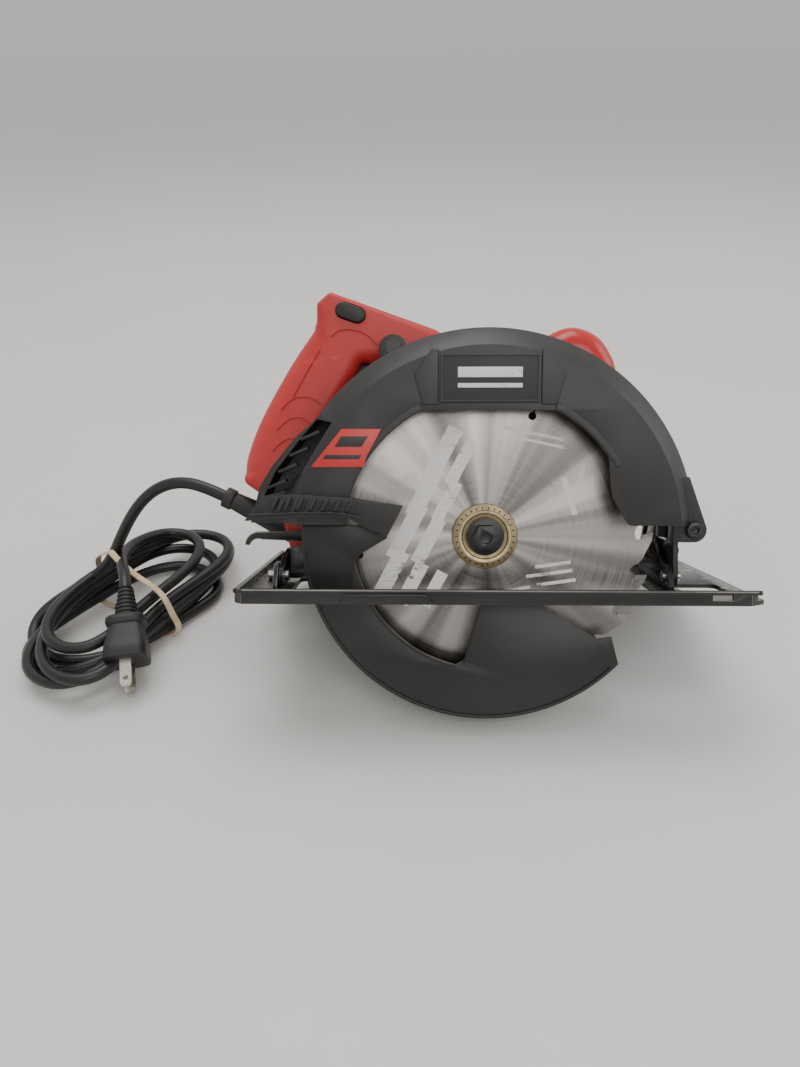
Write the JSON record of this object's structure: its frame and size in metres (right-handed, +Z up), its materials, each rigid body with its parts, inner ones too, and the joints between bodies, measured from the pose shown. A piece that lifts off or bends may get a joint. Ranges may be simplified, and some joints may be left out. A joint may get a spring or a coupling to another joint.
{
  "type": "circular saw",
  "caption": "Corded circular saw with a rear D handle, front handle, guards, tilting base and a banded hank of cord with its plug.",
  "frame": {"origin": "middle of the bottom of the saw's own box, cord left out, on the bench that the saw lies on", "axes": "+X the direction of cut, +Z up from the bench, -Y the side of the blade; the saw leans back 25 degrees"},
  "size_m": [0.4408, 0.265, 0.2062],
  "materials": {
    "guard_paint": "satin charcoal powder coat, fine texture",
    "lower_guard_paint": "worn satin black",
    "black_plastic": "matte moulded",
    "motor_plastic": "matte moulded, lightly textured",
    "red_plastic": "glossy moulded",
    "red_grip": "soft satin, grippy",
    "label_red": "printed film",
    "base_paint": "black enamel, scuffed at the edges",
    "blade_steel": "brushed across, worn print",
    "carbide": "ground",
    "flange_brass": "yellow plated, turned",
    "black_steel": "black oxide",
    "steel": "turned",
    "laminations": "stacked sheet",
    "copper": "enamelled wire",
    "carbon": "pressed carbon",
    "cord_rubber": "matte jacket",
    "plug_metal": "plated",
    "band_rubber": "natural rubber"
  },
  "bodies": {
    "saw": {"upper_guard": "guard_paint", "guard_badge": "black_plastic", "rating_label": "label_red", "gear_housing": "guard_paint", "gear_cover": "guard_paint", "guard_retainer": "steel", "guard_spring": "steel", "guard_screw": "black_steel", "arbor_bearing": "steel", "arbor_bush": "steel", "front_bearing": "steel", "rear_bearing": "steel", "motor_housing": "motor_plastic", "motor_end_cap": "motor_plastic", "cap_screws": "steel", "brush_caps": "black_plastic", "brush_holders": "black_plastic", "carbon_brushes": "carbon", "field_core": "laminations", "field_coils": "copper", "handle_near_half": "red_grip", "handle_far_half": "red_grip", "handle_screws": "black_steel", "trigger_switch": "black_plastic", "front_handle": "red_plastic", "depth_lock_bolt": "steel", "depth_pivot_screw": "black_steel", "strain_relief": "cord_rubber", "cord_lead": "cord_rubber", "cord_coil": "cord_rubber", "rubber_band": "band_rubber", "plug_body": "cord_rubber", "plug_prongs": "plug_metal"},
    "blade_set": {"blade": "blade_steel", "carbide_tips": "carbide", "outer_flange": "flange_brass", "inner_flange": "flange_brass", "blade_bolt": "black_steel", "arbor_shaft": "steel", "arbor_gear": "steel"},
    "armature": {"armature_shaft": "steel", "armature_core": "laminations", "armature_windings": "copper", "commutator": "copper", "fan": "black_plastic"},
    "swing_guard": {"lower_guard": "lower_guard_paint", "lift_lever": "black_plastic"},
    "depth_frame": {"front_bracket": "base_paint", "depth_bracket": "base_paint", "bevel_pivot_pins": "steel", "bevel_bolt": "steel"},
    "base": {"base_plate": "base_paint", "front_quadrant": "base_paint", "rear_lug": "base_paint", "base_rivets": "steel"},
    "depth_lever": {"depth_lock_lever": "black_plastic"},
    "bevel_knob": {"bevel_lock_knob": "black_plastic"},
    "trigger_arm": {"trigger": "black_plastic"},
    "lock_off": {"lock_off_button": "black_plastic"},
    "spindle_pin": {"spindle_lock": "black_plastic"}
  },
  "joints": [
    {"name": "armature_spin", "type": "hinge", "parent": "saw", "child": "armature", "pos_m": [-0.01075, 0.02511, 0.07569], "axis": [0, 0.9063, -0.4226], "continuous": true},
    {"name": "blade_spin", "type": "hinge", "parent": "saw", "child": "blade_set", "pos_m": [-0.00075, -0.07612, 0.09522], "axis": [0, 0.9063, -0.4226], "continuous": true},
    {"name": "lower_guard_swing", "type": "hinge", "parent": "saw", "child": "swing_guard", "pos_m": [-0.00075, -0.07612, 0.09522], "axis": [0, 0.9063, -0.4226], "range_deg": [0, 115], "stiffness_Nm_per_rad": 0.35, "springref_deg": -51.57},
    {"name": "depth_adjust", "type": "hinge", "parent": "saw", "child": "depth_frame", "pos_m": [0.10875, -0.07401, 0.09975], "axis": [0, -0.9063, 0.4226], "range_deg": [0, 28]},
    {"name": "bevel_tilt", "type": "hinge", "parent": "depth_frame", "child": "base", "pos_m": [-0.00075, -0.08678, 0.07591], "axis": [-1, 0, 0], "range_deg": [0, 45]},
    {"name": "depth_lever_swing", "type": "hinge", "parent": "saw", "child": "depth_lever", "pos_m": [-0.071, -0.05714, 0.08149], "axis": [0, 0.9063, -0.4226], "range_deg": [0, 20]},
    {"name": "bevel_knob_turn", "type": "hinge", "parent": "depth_frame", "child": "bevel_knob", "pos_m": [0.10925, -0.04293, 0.06579], "axis": [1, 0, 0], "range_deg": [0, 270]},
    {"name": "trigger_pull", "type": "hinge", "parent": "saw", "child": "trigger_arm", "pos_m": [-0.07075, 0.00581, 0.1668], "axis": [0, 0.9063, -0.4226], "range_deg": [0, 8], "stiffness_Nm_per_rad": 0.6, "springref_deg": -8.59},
    {"name": "lock_off_press", "type": "slide", "parent": "saw", "child": "lock_off", "axis": [0, 0.9063, -0.4226], "range_m": [0, 0.003], "stiffness_N_per_m": 250, "springref_m": -0.002},
    {"name": "spindle_lock_press", "type": "slide", "parent": "saw", "child": "spindle_pin", "axis": [-1, 0, 0], "range_m": [0, 0.0025], "stiffness_N_per_m": 400, "springref_m": -0.002}
  ],
  "couplings": [
    {"joint": "blade_spin", "follows": "armature_spin", "ratio": -0.2}
  ]
}
